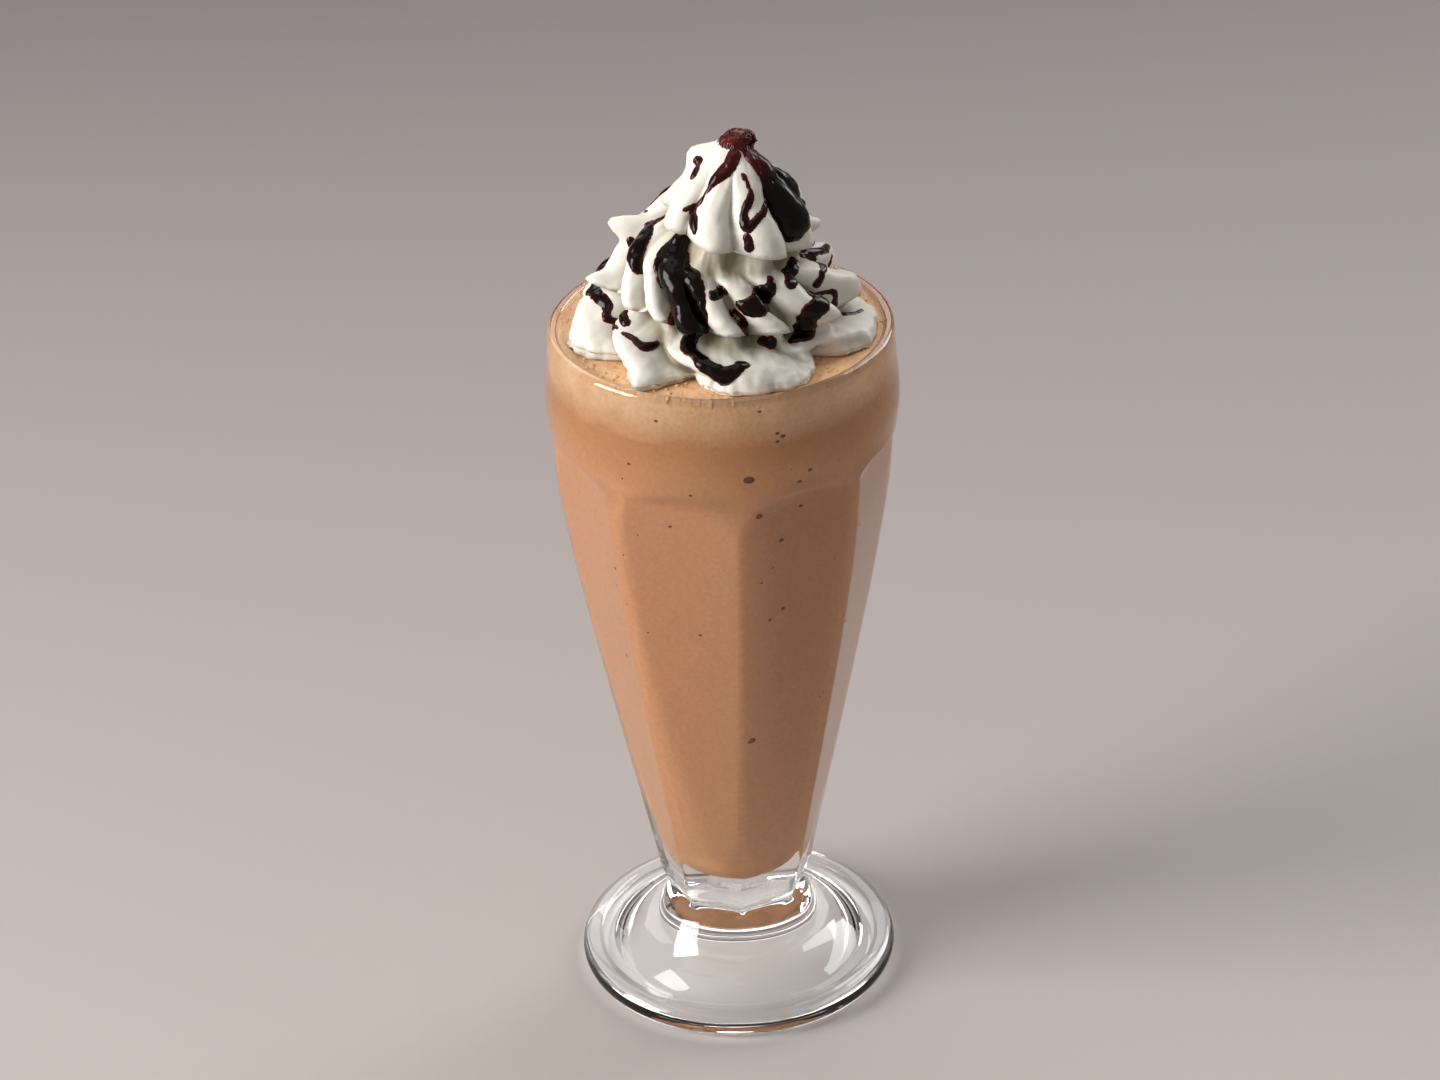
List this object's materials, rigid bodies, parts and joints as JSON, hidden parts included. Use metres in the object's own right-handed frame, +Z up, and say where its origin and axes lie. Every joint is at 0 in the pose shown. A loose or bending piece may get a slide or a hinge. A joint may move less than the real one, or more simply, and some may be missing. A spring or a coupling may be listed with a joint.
{
  "type": "chocolate milkshake in soda fountain glass",
  "caption": "Chocolate milkshake in a tall footed panelled soda fountain glass, topped with a froth layer, a piped swirl of whipped cream and thick chocolate sauce.",
  "frame": {"origin": "centre of the foot of the glass, on the surface it stands on", "axes": "+Z up along the glass's axis; -Y is the side that the picture shows"},
  "size_m": [0.0872, 0.0872, 0.2363],
  "materials": {
    "clear_glass": "clear pressed soda-lime glass, polished",
    "milkshake": "opaque light chocolate brown liquid, satin",
    "froth": "paler tan froth with fine bubbles, satin",
    "whipped_cream": "soft off-white whipped cream, satin",
    "chocolate_sauce": "thick dark chocolate sauce, wet gloss"
  },
  "bodies": {
    "root": {"glass": "clear_glass", "milkshake": "milkshake", "froth": "froth", "whipped_cream": "whipped_cream"}
  },
  "joints": []
}
